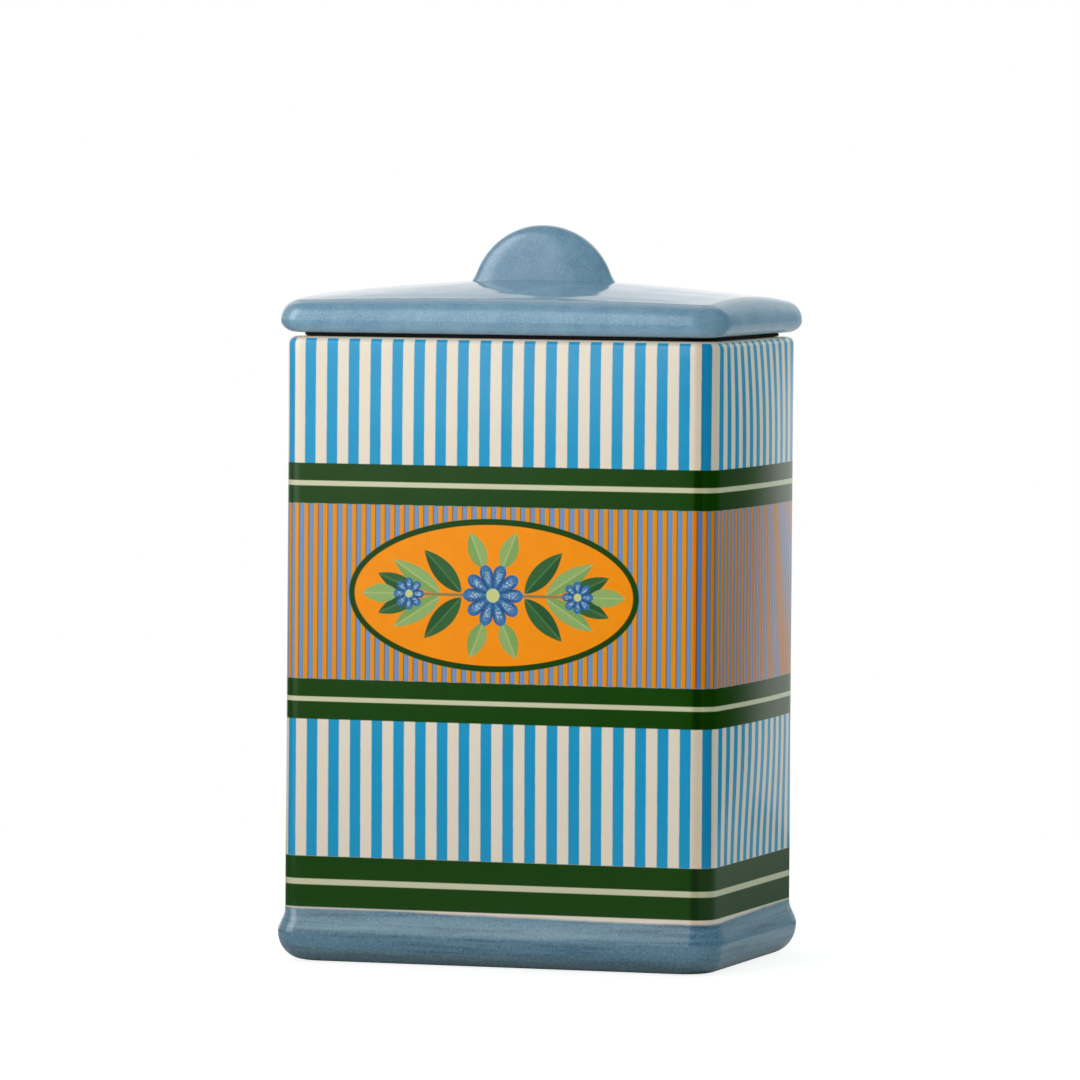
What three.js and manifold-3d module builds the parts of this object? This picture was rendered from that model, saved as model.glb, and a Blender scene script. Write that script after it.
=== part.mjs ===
// Lidded ceramic storage jar: a rectangular stoneware jar on a rounded foot, with a crowned lid
// that lifts off. The lid carries a half-disc knob on top and, underneath, a locating collar
// with a soft finned seal round it.
// Millimetres, +Z up, the origin on the table under the middle of the jar, +X along the front.

import * as THREE from "three";
import { mergeVertices } from "three/addons/utils/BufferGeometryUtils.js";
import Module from "manifold-3d";

// Jar
const BODY_LENGTH = 124;
const BODY_DEPTH = 83.5;
const BODY_HEIGHT = 172.5;
const CORNER_RADIUS = 6;
const WALL = 5;
const FLOOR_THICKNESS = 6;
const INNER_CORNER_RADIUS = 4;
const INNER_FLOOR_RADIUS = 6;
const RIM_OUTER_RADIUS = 2.2;
const RIM_INNER_RADIUS = 1.2;

// The four walls are a little pillowed between the foot and the rim
const FRONT_BULGE = 0.5; // and of the back
const END_BULGE = 1.4;
const BULGE_START_HEIGHT = 27;
const BULGE_FULL_HEIGHT = 64;
const BULGE_FALL_HEIGHT = 143;

// Foot of the jar: a round roll that stands proud of the wall and tucks in under it
const FOOT_HEIGHT = 14.5;
const FOOT_BULGE = 2;
const FOOT_BULGE_HEIGHT = 7.9;
const FOOT_TUCK = 3.8;
const FOOT_RING_WIDTH = 7;
const FOOT_RECESS = 1.2;

// Lid
const LID_GAP = 1.0; // from the jar's rim up to the underside of the lid
const LID_OVERHANG = 2.2;
const LID_LOWER_ROUND_WIDTH = 4.5;
const LID_LOWER_ROUND_HEIGHT = 3.5;
const LID_UPPER_ROUND_WIDTH = 6;
const LID_UPPER_ROUND_HEIGHT = 5.5; // at the corners
const LID_FRONT_ARCH = 1.1; // rise of the front and back shoulders over the corners
const LID_END_ARCH = 1.7; // rise of the shoulders at the two ends over the corners
const LID_CROWN = 2.9; // further rise of the middle of the top
const CROWN_POWER_ALONG = 1.6; // nearly straight slopes towards the ends
const LID_RECESS = 4.5;

// Knob: the upper part of a pillowed disc that stands along the lid
const KNOB_RADIUS = 20.4;
const KNOB_THICKNESS = 12;
const KNOB_ROUNDNESS = 3; // power of the pillowed section: 2 is an ellipse, more is squarer
const KNOB_HEIGHT = 15.8; // above its seat

// Locating collar under the lid
const COLLAR_DEPTH = 12;
const COLLAR_WALL = 4.5;
const COLLAR_EDGE = 1;

// Seal ring round the collar
const SEAL_SPACE = 4; // from the collar to the wall of the jar's mouth
const SEAL_BAND = 1.5;
const SEAL_HEIGHT = 10;
const SEAL_LIP_REACH = 1.2; // how far the top lip lies over the rim
const FIN_COUNT = 3;
const FIN_ROOT = 1.1;
const FIN_TIP = 0.5;

// Fits
const JOINT_GAP = 0.3; // slip joint of the knob and the collar, and room round the seal
const LIP_CLEARANCE = 0.1;

// Fineness of the facets
const CORNER_STEPS = 6;
const LONG_SIDE_STEPS = 10;
const SHORT_SIDE_STEPS = 6;
const ROUND_STEPS = 6;
const WALL_RINGS = 14;
const CROWN_RINGS = 8;
const KNOB_STEPS = 48;
const KNOB_PROFILE_STEPS = 20;

const wasm = await Module();
wasm.setup();

// Points round a rectangle with round corners, counter-clockwise from above. At a fullness of 1
// its sides bulge as far as the walls do.
function roundedRectangle(length, depth, radius, fullness) {
  const points = [];
  const signs = [[1, 1], [-1, 1], [-1, -1], [1, -1]];
  const cornerCentre = (k) =>
    new THREE.Vector2(signs[k % 4][0] * (length / 2 - radius), signs[k % 4][1] * (depth / 2 - radius));
  const onArc = (k, angle) =>
    cornerCentre(k).add(new THREE.Vector2(Math.cos(angle), Math.sin(angle)).multiplyScalar(radius));
  for (let k = 0; k < 4; k++) {
    const start = (k * Math.PI) / 2;
    for (let i = 0; i <= CORNER_STEPS; i++) {
      points.push(onArc(k, start + (i / CORNER_STEPS) * (Math.PI / 2)));
    }
    const sideStart = onArc(k, start + Math.PI / 2);
    const sideEnd = onArc(k + 1, start + Math.PI / 2);
    const [steps, bulge] = k % 2 === 0 ? [LONG_SIDE_STEPS, FRONT_BULGE] : [SHORT_SIDE_STEPS, END_BULGE];
    const outwards = new THREE.Vector2(Math.cos(start + Math.PI / 2), Math.sin(start + Math.PI / 2));
    for (let i = 1; i < steps; i++) {
      const fromMiddle = (2 * i) / steps - 1;
      const point = sideStart.clone().lerp(sideEnd, i / steps);
      points.push(point.addScaledVector(outwards, fullness * bulge * (1 - fromMiddle ** 2)));
    }
  }
  return points;
}

// A level ring of the outline, moved out by offset (in where it is negative), at height z.
function ring(outline, offset, z, fullness = 0, radius = Math.max(outline.radius + offset, 0.5)) {
  const points = roundedRectangle(outline.length + 2 * offset, outline.depth + 2 * offset, radius, fullness);
  return points.map((p) => new THREE.Vector3(p.x, p.y, z));
}

// [offset, z] points on a quarter of an ellipse about a centre, between two angles.
function quarterRound(centreOffset, centreZ, width, height, fromAngle, toAngle) {
  const points = [];
  for (let i = 0; i <= ROUND_STEPS; i++) {
    const angle = fromAngle + ((toAngle - fromAngle) * i) / ROUND_STEPS;
    points.push([centreOffset + width * Math.cos(angle), centreZ + height * Math.sin(angle)]);
  }
  return points;
}

// A surface through the rings in order. An open one is capped at both ends, and a closed one
// runs on from its last ring to its first.
function loft(rings, closed = false) {
  const count = rings[0].length;
  const positions = rings.flat().flatMap((p) => [p.x, p.y, p.z]);
  const index = [];
  const bands = closed ? rings.length : rings.length - 1;
  for (let i = 0; i < bands; i++) {
    const lower = i * count;
    const upper = ((i + 1) % rings.length) * count;
    for (let j = 0; j < count; j++) {
      const next = (j + 1) % count;
      index.push(lower + j, lower + next, upper + next, lower + j, upper + next, upper + j);
    }
  }
  if (!closed) {
    for (const [first, points, faceUp] of [[0, rings[0], false], [bands * count, rings[bands], true]]) {
      const middle = points.reduce((sum, p) => sum.add(p), new THREE.Vector3()).divideScalar(count);
      const centre = positions.length / 3;
      positions.push(middle.x, middle.y, middle.z);
      for (let j = 0; j < count; j++) {
        const pair = [first + j, first + ((j + 1) % count)];
        index.push(centre, ...(faceUp ? pair : pair.reverse()));
      }
    }
  }
  const geometry = new THREE.BufferGeometry();
  geometry.setAttribute("position", new THREE.Float32BufferAttribute(positions, 3));
  geometry.setIndex(index);
  return geometry;
}

// Geometry to manifold solid and back, for the cuts.
function toSolid(geometry) {
  const bare = geometry.clone();
  bare.deleteAttribute("normal");
  bare.deleteAttribute("uv");
  const merged = mergeVertices(bare, 1e-4);
  const vertProperties = new Float32Array(merged.attributes.position.array);
  const triVerts = new Uint32Array(merged.index.array);
  return new wasm.Manifold(new wasm.Mesh({ numProp: 3, vertProperties, triVerts }));
}

function toGeometry(solid) {
  const mesh = solid.getMesh();
  const geometry = new THREE.BufferGeometry();
  geometry.setAttribute("position", new THREE.BufferAttribute(mesh.vertProperties, 3));
  geometry.setIndex(new THREE.BufferAttribute(mesh.triVerts, 1));
  return geometry;
}

// A box from its lowest to its highest corner.
function boxBetween(low, high) {
  const size = new THREE.Vector3().subVectors(high, low);
  const middle = new THREE.Vector3().addVectors(low, high).divideScalar(2);
  return new THREE.BoxGeometry(size.x, size.y, size.z).translate(middle.x, middle.y, middle.z);
}

// Outlines that the pieces share
const bodyOutline = { length: BODY_LENGTH, depth: BODY_DEPTH, radius: CORNER_RADIUS };
const mouthOutline = {
  length: BODY_LENGTH - 2 * WALL,
  depth: BODY_DEPTH - 2 * WALL,
  radius: INNER_CORNER_RADIUS,
};
const lidOutline = {
  length: BODY_LENGTH + 2 * LID_OVERHANG,
  depth: BODY_DEPTH + 2 * LID_OVERHANG,
  radius: CORNER_RADIUS + LID_OVERHANG,
};
const collarOutline = {
  length: mouthOutline.length - 2 * SEAL_SPACE,
  depth: mouthOutline.depth - 2 * SEAL_SPACE,
  radius: INNER_CORNER_RADIUS,
};
const collarInside = {
  length: collarOutline.length - 2 * COLLAR_WALL,
  depth: collarOutline.depth - 2 * COLLAR_WALL,
  radius: INNER_CORNER_RADIUS,
};
const DOWN = -Math.PI / 2;
const UP = Math.PI / 2;

// Share of its bulge that a wall has at height z.
function wallFullness(z) {
  const rise = THREE.MathUtils.smoothstep(z, BULGE_START_HEIGHT, BULGE_FULL_HEIGHT);
  const fall = THREE.MathUtils.clamp((z - BULGE_FALL_HEIGHT) / (BODY_HEIGHT - BULGE_FALL_HEIGHT), 0, 1);
  return rise * (1 - fall ** 2);
}

// The jar: recessed underside, foot roll, wall, round rim, and the hollow inside
function jarBody() {
  const recessEdge = -(FOOT_TUCK + FOOT_RING_WIDTH);
  const footUnder = quarterRound(
    -FOOT_TUCK, FOOT_BULGE_HEIGHT, FOOT_TUCK + FOOT_BULGE, FOOT_BULGE_HEIGHT, DOWN, 0);
  const footOver = [];
  for (let i = 1; i <= ROUND_STEPS; i++) {
    const t = i / ROUND_STEPS;
    const offset = (FOOT_BULGE * (1 + Math.cos(Math.PI * t))) / 2;
    footOver.push([offset, FOOT_BULGE_HEIGHT + t * (FOOT_HEIGHT - FOOT_BULGE_HEIGHT)]);
  }
  const rimOuter = quarterRound(
    -RIM_OUTER_RADIUS, BODY_HEIGHT - RIM_OUTER_RADIUS, RIM_OUTER_RADIUS, RIM_OUTER_RADIUS, 0, UP);
  const floorTop = FLOOR_THICKNESS + INNER_FLOOR_RADIUS;
  const wallUp = [];
  const wallDown = [];
  for (let i = 1; i < WALL_RINGS; i++) {
    const t = i / WALL_RINGS;
    wallUp.push([0, THREE.MathUtils.lerp(FOOT_HEIGHT, BODY_HEIGHT - RIM_OUTER_RADIUS, t)]);
    wallDown.push([0, THREE.MathUtils.lerp(BODY_HEIGHT - RIM_INNER_RADIUS, floorTop, t)]);
  }
  // The foot keeps its corner radius where it tucks in.
  const footRadius = CORNER_RADIUS + FOOT_BULGE;
  const under = [[recessEdge, FOOT_RECESS], [recessEdge + FOOT_RECESS, 0], ...footUnder];
  const outside = [...footOver, ...wallUp, ...rimOuter];
  const rimInner = quarterRound(
    RIM_INNER_RADIUS, BODY_HEIGHT - RIM_INNER_RADIUS, RIM_INNER_RADIUS, RIM_INNER_RADIUS, UP, Math.PI);
  const floorRound = quarterRound(
    -INNER_FLOOR_RADIUS, floorTop, INNER_FLOOR_RADIUS, INNER_FLOOR_RADIUS, 0, DOWN);
  const inside = [...rimInner, ...wallDown, ...floorRound];
  return loft([
    ...under.map(([offset, z]) => ring(bodyOutline, offset, z, 0, footRadius)),
    ...outside.map(([offset, z]) => ring(bodyOutline, offset, z, wallFullness(z))),
    ...inside.map(([offset, z]) => ring(mouthOutline, offset, z, wallFullness(z))),
  ]);
}

// Lid heights, measured up from the underside of the lid
const LID_CORNER_SHOULDER = LID_LOWER_ROUND_HEIGHT + LID_UPPER_ROUND_HEIGHT;
const shoulderHalfLength = lidOutline.length / 2 - LID_UPPER_ROUND_WIDTH;
const shoulderHalfDepth = lidOutline.depth / 2 - LID_UPPER_ROUND_WIDTH;

// Height of the crowned top over the point x, y.
function crownHeight(x, y) {
  const along = Math.min(Math.abs(x) / shoulderHalfLength, 1);
  const across = Math.min(Math.abs(y) / shoulderHalfDepth, 1);
  const arches = LID_FRONT_ARCH * (1 - along ** 2) + LID_END_ARCH * (1 - across ** 2);
  const crown = LID_CROWN * (1 - along ** CROWN_POWER_ALONG) * (1 - across ** 2);
  return LID_CORNER_SHOULDER + arches + crown;
}

// The knob stands at the height of the crown under the corners of its base.
const KNOB_SEAT = crownHeight(KNOB_RADIUS, KNOB_THICKNESS / 2);

// The knob: a pillowed disc on its edge, cut off flat at its seat. Grown all round by a
// clearance, it is also the cut that its seat in the lid takes.
function knobSolid(grow) {
  const half = KNOB_THICKNESS / 2 + grow;
  const radius = KNOB_RADIUS + grow;
  const profile = [];
  for (let i = 0; i <= KNOB_PROFILE_STEPS; i++) {
    const angle = DOWN + (i / KNOB_PROFILE_STEPS) * Math.PI;
    const atEnd = i === 0 || i === KNOB_PROFILE_STEPS;
    const out = atEnd ? 0 : Math.abs(Math.cos(angle)) ** (2 / KNOB_ROUNDNESS);
    const across = Math.sign(angle) * Math.abs(Math.sin(angle)) ** (2 / KNOB_ROUNDNESS);
    profile.push(new THREE.Vector2(radius * out, half * across));
  }
  const discCentre = KNOB_SEAT + KNOB_HEIGHT - KNOB_RADIUS;
  const disc = new THREE.LatheGeometry(profile, KNOB_STEPS).translate(0, 0, discCentre);
  const below = boxBetween(
    new THREE.Vector3(-2 * radius, -2 * half, discCentre - 2 * radius),
    new THREE.Vector3(2 * radius, 2 * half, KNOB_SEAT - grow),
  );
  return toSolid(disc).subtract(toSolid(below));
}

// The lid: a shallow recess below, a bullnose edge and a crowned top, with a seat cut for the knob
function lidSlab() {
  const lowerRound = quarterRound(
    -LID_LOWER_ROUND_WIDTH, LID_LOWER_ROUND_HEIGHT, LID_LOWER_ROUND_WIDTH, LID_LOWER_ROUND_HEIGHT, DOWN, 0);
  // The upper round reaches the arched shoulder, whose height differs from point to point.
  const upperRound = quarterRound(-LID_UPPER_ROUND_WIDTH, 0, LID_UPPER_ROUND_WIDTH, 1, 0, UP);
  const shoulder = ring(lidOutline, -LID_UPPER_ROUND_WIDTH, 0);
  shoulder.forEach((p) => p.setZ(crownHeight(p.x, p.y)));
  const upperRings = upperRound.slice(1, -1).map(([offset, share]) =>
    ring(lidOutline, offset, 0).map((p, j) =>
      p.setZ(THREE.MathUtils.lerp(LID_LOWER_ROUND_HEIGHT, shoulder[j].z, share))));
  const crown = [];
  for (let i = 1; i < CROWN_RINGS; i++) {
    const share = 1 - i / CROWN_RINGS;
    crown.push(shoulder.map((p) =>
      new THREE.Vector3(p.x * share, p.y * share, crownHeight(p.x * share, p.y * share))));
  }
  const slab = loft([
    ring(collarInside, -LID_RECESS, LID_RECESS),
    ring(collarInside, 0, 0),
    ...lowerRound.map(([offset, z]) => ring(lidOutline, offset, z)),
    ...upperRings,
    shoulder,
    ...crown,
  ]);
  return toGeometry(toSolid(slab).subtract(knobSolid(JOINT_GAP)));
}

// The collar that finds the jar's mouth, a slip joint below the lid
function lidCollar() {
  const bottom = -COLLAR_DEPTH;
  const top = -JOINT_GAP;
  return loft([
    ring(collarOutline, -COLLAR_EDGE, bottom),
    ring(collarOutline, 0, bottom + COLLAR_EDGE),
    ring(collarOutline, 0, top),
    ring(collarInside, 0, top),
    ring(collarInside, 0, bottom + COLLAR_EDGE),
    ring(collarInside, COLLAR_EDGE, bottom),
  ], true);
}

// The seal: a band round the collar with a lip over the rim and fins towards the wall of the mouth
function sealRing() {
  const inner = JOINT_GAP;
  const bandFace = inner + SEAL_BAND;
  const finReach = SEAL_SPACE - JOINT_GAP;
  const lipTop = -LIP_CLEARANCE;
  const lipBottom = -(LID_GAP - LIP_CLEARANCE);
  const section = [[inner, -SEAL_HEIGHT], [bandFace, -SEAL_HEIGHT]];
  const finPitch = (SEAL_HEIGHT + lipBottom) / FIN_COUNT;
  for (let i = 0; i < FIN_COUNT; i++) {
    const middle = -SEAL_HEIGHT + (i + 0.5) * finPitch;
    section.push(
      [bandFace, middle - FIN_ROOT / 2],
      [finReach, middle - FIN_TIP / 2],
      [finReach, middle + FIN_TIP / 2],
      [bandFace, middle + FIN_ROOT / 2],
    );
  }
  section.push(
    [bandFace, lipBottom],
    [SEAL_SPACE + RIM_INNER_RADIUS + SEAL_LIP_REACH, lipBottom],
    [SEAL_SPACE + RIM_INNER_RADIUS + SEAL_LIP_REACH, lipTop],
    [inner, lipTop],
  );
  return loft(section.map(([offset, z]) => ring(collarOutline, offset, z)), true);
}

const creamGlaze = new THREE.MeshStandardMaterial({ color: "#e3d9c8", roughness: 0.18, metalness: 0 });
const blueGlaze = new THREE.MeshStandardMaterial({ color: "#7fa3c0", roughness: 0.15, metalness: 0 });
const bareStoneware = new THREE.MeshStandardMaterial({ color: "#d9ccb8", roughness: 0.8, metalness: 0 });
const silicone = new THREE.MeshStandardMaterial({ color: "#151515", roughness: 0.6, metalness: 0 });

function piece(name, geometry, material) {
  geometry.computeVertexNormals();
  const mesh = new THREE.Mesh(geometry, material);
  mesh.name = name;
  return mesh;
}

const lid = new THREE.Group();
lid.add(
  piece("lid_slab", lidSlab(), blueGlaze),
  piece("lid_knob", toGeometry(knobSolid(0)), blueGlaze),
  piece("lid_collar", lidCollar(), bareStoneware),
  piece("seal_ring", sealRing(), silicone),
);
lid.position.z = BODY_HEIGHT + LID_GAP;

const jar = new THREE.Group();
jar.add(piece("jar_body", jarBody(), creamGlaze), lid);

export default jar;
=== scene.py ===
import math
from collections import namedtuple

import bmesh
import bpy
from mathutils import Matrix, Vector


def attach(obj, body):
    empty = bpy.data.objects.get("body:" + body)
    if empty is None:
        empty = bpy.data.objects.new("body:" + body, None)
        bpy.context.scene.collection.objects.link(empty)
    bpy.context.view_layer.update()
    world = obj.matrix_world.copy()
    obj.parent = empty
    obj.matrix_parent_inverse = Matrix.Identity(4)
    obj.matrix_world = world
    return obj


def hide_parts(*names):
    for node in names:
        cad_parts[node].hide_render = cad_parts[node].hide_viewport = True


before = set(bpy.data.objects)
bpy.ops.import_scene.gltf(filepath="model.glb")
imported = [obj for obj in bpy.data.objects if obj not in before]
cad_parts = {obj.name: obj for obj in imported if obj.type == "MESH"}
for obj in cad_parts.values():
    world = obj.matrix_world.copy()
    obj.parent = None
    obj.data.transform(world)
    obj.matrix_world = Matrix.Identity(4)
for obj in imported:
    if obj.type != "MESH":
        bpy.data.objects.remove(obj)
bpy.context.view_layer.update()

# Lidded ceramic jar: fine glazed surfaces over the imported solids, with the printed bands, stripes
# and medallion in the glaze. Lengths are in millimetres here and become metres in the meshes.
MM = 0.001

# Jar, as in the part's source
BODY_LENGTH = 124.0
BODY_DEPTH = 83.5
BODY_HEIGHT = 172.5
CORNER_RADIUS = 6.0
WALL = 5.0
FLOOR_THICKNESS = 6.0
INNER_CORNER_RADIUS = 4.0
INNER_FLOOR_RADIUS = 6.0
RIM_OUTER_RADIUS = 2.2
RIM_INNER_RADIUS = 1.2
FRONT_BULGE = 0.5
END_BULGE = 1.4
BULGE_START = 27.0
BULGE_FULL = 64.0
BULGE_FALL = 143.0
FOOT_HEIGHT = 14.5
FOOT_BULGE = 2.0
FOOT_BULGE_HEIGHT = 7.9
FOOT_TUCK = 3.8
FOOT_RING_WIDTH = 7.0
FOOT_RECESS = 1.2

# The edges of the foot's recess are eased by a short bevel inside and outside.
RECESS_EASE_INSIDE = 0.3
RECESS_EASE_OUTSIDE = 0.4
RECESS_EASE_HEIGHT = 0.1

# Lid, as in the part's source
LID_GAP = 1.0
LID_OVERHANG = 2.2
LOWER_ROUND_WIDTH = 4.5
LOWER_ROUND_HEIGHT = 3.5
UPPER_ROUND_WIDTH = 6.0
UPPER_ROUND_HEIGHT = 5.5
FRONT_ARCH = 1.1
END_ARCH = 1.7
CROWN = 2.9
CROWN_POWER_ALONG = 1.6
LID_RECESS = 4.5
KNOB_RADIUS = 20.4
KNOB_THICKNESS = 12.0
KNOB_ROUNDNESS = 3.0
KNOB_HEIGHT = 15.8
COLLAR_DEPTH = 12.0
COLLAR_WALL = 4.5
COLLAR_EDGE = 1.0
SEAL_SPACE = 4.0
SEAL_BAND = 1.5
SEAL_HEIGHT = 10.0
SEAL_LIP_REACH = 1.2
FIN_COUNT = 3
FIN_ROOT = 1.1
FIN_TIP = 0.5
JOINT_GAP = 0.3
LIP_CLEARANCE = 0.1
LID_Z = BODY_HEIGHT + LID_GAP

# The knob runs on into the lid, and its two ends flare out where they meet it. FLARE_ENDS says where the
# flare begins and where it is full, as shares of the knob's radius.
KNOB_ROOT = 2.0
FLARE = 0.6
FLARE_HEIGHT = 2.6
FLARE_MOST = 1.25
FLARE_ENDS = (0.8, 0.97)

# Fineness of the meshes
LONG_STEPS = 28
SHORT_STEPS = 18
CORNER_STEPS = 10
ROUND_STEPS = 12
EDGE_STEPS = 6
LIP_STEPS = 8
WALL_RINGS = 64
CROWN_RINGS = 26
KNOB_STEPS = 128
KNOB_PROFILE_STEPS = 56
LEAST_CORNER_RADIUS = 0.5
CREASE_ANGLE = 40.0
KNOB_CREASE_ANGLE = 50.0

# A cubic curve with handles of this share of the radius follows a quarter circle.
ARC_HANDLE = 0.5523

# Print: heights above the table, and lengths round the jar from the middle of its front
Band = namedtuple("Band", "bottom top line_bottom line_top")
UPPER_BAND = Band(126.56, 137.65, 131.44, 132.83)
MIDDLE_BAND = Band(67.12, 78.25, 72.03, 73.32)
LOWER_BAND = Band(15.17, 29.28, 21.39, 23.01)
PRINT_TOP = 172.0
PRINT_EDGE = 0.16
STRIPE_PITCH = 6.3046
STRIPE_SHARE = 0.495
STRIPE_EDGE = 0.3
STRIPE_COUNT = 64
STRIPE_START_TOP = -55.49
STRIPE_START_LOW = -54.44
STRIPES_CHANGE = (100.0, 101.0)
PERIMETER = STRIPE_PITCH * STRIPE_COUNT
FINE_COUNT = 145
FINE_PITCH = PERIMETER / FINE_COUNT
FINE_SHARE = 0.48
FINE_EDGE = 0.22
FINE_START = -55.49
INK_WOBBLE = 0.2
SEAM = 57.5
FOOT_GLAZE_TOP = 14.45

# Medallion: its place, its oval and, in its right upper quarter, the ornament's leaves and rosettes
MEDALLION_CENTRE = (-0.6, 102.33)
OVAL_OUTER = (41.62, 20.96)
OVAL_INNER = (39.95, 19.31)
OVAL_EDGE = 0.12
MOTIF_EDGE = 0.3
STEM_HALF_WIDTH = 0.4
STEM_FROM = 8.0
STEM_TO = 31.0
Leaf = namedtuple("Leaf", "base angle length width pale")
LEAVES = (
    Leaf((2.6, 7.2), 68.0, 11.0, 4.6, True),
    Leaf((9.0, 0.6), 47.0, 16.0, 5.0, False),
    Leaf((15.0, 0.4), 33.0, 16.5, 4.6, True),
    Leaf((21.5, 0.3), 24.0, 13.0, 4.2, False),
    Leaf((27.0, 0.0), 0.0, 11.0, 4.6, True),
)
Rosette = namedtuple("Rosette", "centre radius petals")
ROSETTES = (Rosette((0.0, 0.0), 8.8, 10), Rosette((24.2, 0.0), 4.6, 8))

# Colours, linear
WHITE = (1.0, 1.0, 1.0)
BLACK = (0.0, 0.0, 0.0)
CREAM = (0.800, 0.715, 0.585)
BLUE_INK = (0.012, 0.310, 0.560)
GREEN_INK = (0.0065, 0.0520, 0.0004)
LINE_INK = (0.605, 0.600, 0.412)
ORANGE_INK = (0.800, 0.274, 0.001)
PERIWINKLE_INK = (0.155, 0.308, 0.620)
SHADOW_INK = (0.240, 0.105, 0.025)
OLIVE_INK = (0.240, 0.270, 0.090)
PINHOLE = (0.090, 0.070, 0.050)
FIELD_DEEP = (0.880, 0.255, 0.001)
FIELD_PALE = (0.960, 0.310, 0.003)
STEM_INK = (0.270, 0.215, 0.080)
LEAF_DEEP = (0.012, 0.070, 0.022)
LEAF_MID = (0.045, 0.160, 0.045)
LEAF_RIB = (0.110, 0.240, 0.080)
PALE_LEAF_DEEP = (0.165, 0.320, 0.075)
PALE_LEAF_MID = (0.340, 0.480, 0.170)
PALE_LEAF_RIB = (0.480, 0.560, 0.240)
PETAL_DEEP = (0.008, 0.060, 0.190)
PETAL_MID = (0.060, 0.230, 0.480)
PETAL_PALE = (0.520, 0.680, 0.800)
ROSETTE_MIDDLE = (0.560, 0.610, 0.250)
FOOT_DEEP = (0.054, 0.134, 0.198)
FOOT_MID = (0.104, 0.224, 0.314)
FOOT_PALE = (0.184, 0.312, 0.372)
FOOT_BOTTOM = (0.088, 0.148, 0.156)
FOOT_PALE_SPECK = (0.330, 0.440, 0.490)
FOOT_DARK_SPECK = (0.020, 0.050, 0.080)
LID_DEEP = (0.135, 0.272, 0.394)
LID_MID = (0.199, 0.355, 0.480)
LID_PALE = (0.292, 0.442, 0.546)
# Painted highlight on the lid's edge, where the glaze also breaks pale
LID_HIGHLIGHT_AND_BREAK = (0.300, 0.430, 0.520)
# Painted shade in the lid's crease
LID_CREASE_SHADE = (0.022, 0.050, 0.078)
CLAY_DEEP = (0.540, 0.460, 0.360)
CLAY_PALE = (0.680, 0.600, 0.490)
CLAY_SPECK = (0.250, 0.180, 0.120)
RUBBER_DEEP = (0.004, 0.004, 0.004)
RUBBER_PALE = (0.011, 0.011, 0.012)
FILL_LIGHT = (0.64, 0.90, 0.92)

# Optical values of the materials
GLAZE_IOR = 1.5
RUBBER_IOR = 1.42
RUBBER_SPECULAR = 0.3
FLOOR_ROUGHNESS = 0.9

# Camera, fitted to the photograph: metres, degrees from the front towards +X, and millimetres of lens
CAMERA_PLACE = Vector((0.71756, -2.28214, 0.2301))
CAMERA_YAW = math.radians(17.4659)
CAMERA_PITCH = math.radians(2.7371)
CAMERA_ROLL = math.radians(0.4259)
SENSOR_WIDTH = 36.0
LENS_LENGTH = 287.28

# Studio: a pale floor, a key and a fill lamp, and a world with soft panels. Lengths are in metres.
AMBIENT = 0.56
LAMP_AIM = Vector((0.0, 0.0, 0.1))
FLOOR_RADIUS = 0.45
FLOOR_SEGMENTS = 96
FLOOR_DROP = 0.0002
FLOOR_GLOW = 0.85
FLOOR_NEAR = (0.1, 0.2)
FLOOR_RIGHT = (0.05, 0.25)


# Shapes
def smoothstep(x, low, high):
    t = min(max((x - low) / (high - low), 0.0), 1.0)
    return t * t * (3.0 - 2.0 * t)


def wall_fullness(z):
    """Share of the walls' bulge at height z."""
    fall = min(max((z - BULGE_FALL) / (BODY_HEIGHT - BULGE_FALL), 0.0), 1.0)
    return smoothstep(z, BULGE_START, BULGE_FULL) * (1.0 - fall ** 2)


def outline(length, depth, radius, fullness=0.0):
    """Points round a rectangle with round corners and bulging sides, counter-clockwise from above,
    from the middle of the back."""
    long = (length / 2 - radius, depth / 2, FRONT_BULGE * fullness, LONG_STEPS)
    short = (depth / 2 - radius, length / 2, END_BULGE * fullness, SHORT_STEPS)
    sides = (
        (Vector((0, 1)), Vector((-1, 0)), *long),
        (Vector((-1, 0)), Vector((0, -1)), *short),
        (Vector((0, -1)), Vector((1, 0)), *long),
        (Vector((1, 0)), Vector((0, 1)), *short),
    )
    handle = ARC_HANDLE * radius
    runs = []
    for k, (out, along, half, reach, bulge, steps) in enumerate(sides):
        side = []
        for i in range(steps + 1):
            t = 2.0 * i / steps - 1.0
            side.append(out * (reach + bulge * (1.0 - t * t)) + along * (half * t))
        next_out, next_along, next_half, next_reach, next_bulge, _ = sides[(k + 1) % 4]
        start = side[-1]
        end = next_out * next_reach - next_along * next_half
        a = start + (along - out * (2.0 * bulge / half)) * handle
        b = end - (next_along + next_out * (2.0 * next_bulge / next_half)) * handle
        corner = []
        for i in range(1, CORNER_STEPS):
            t = i / CORNER_STEPS
            s = 1.0 - t
            corner.append(start * s ** 3 + a * (3 * s * s * t) + b * (3 * s * t * t) + end * t ** 3)
        runs.append((side, corner))
    middle = LONG_STEPS // 2
    points = runs[0][0][middle:] + runs[0][1]
    for side, corner in runs[1:]:
        points += side + corner
    return points + runs[0][0][:middle]


def ring(shape, offset, z, fullness=0.0, corner=None):
    """A level ring of the outline (length, depth, radius), moved out by offset, at height z."""
    length, depth, radius = shape
    corner = corner or max(radius + offset, LEAST_CORNER_RADIUS)
    points = outline(length + 2 * offset, depth + 2 * offset, corner, fullness)
    return [Vector((p.x, p.y, z)) for p in points]


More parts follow.
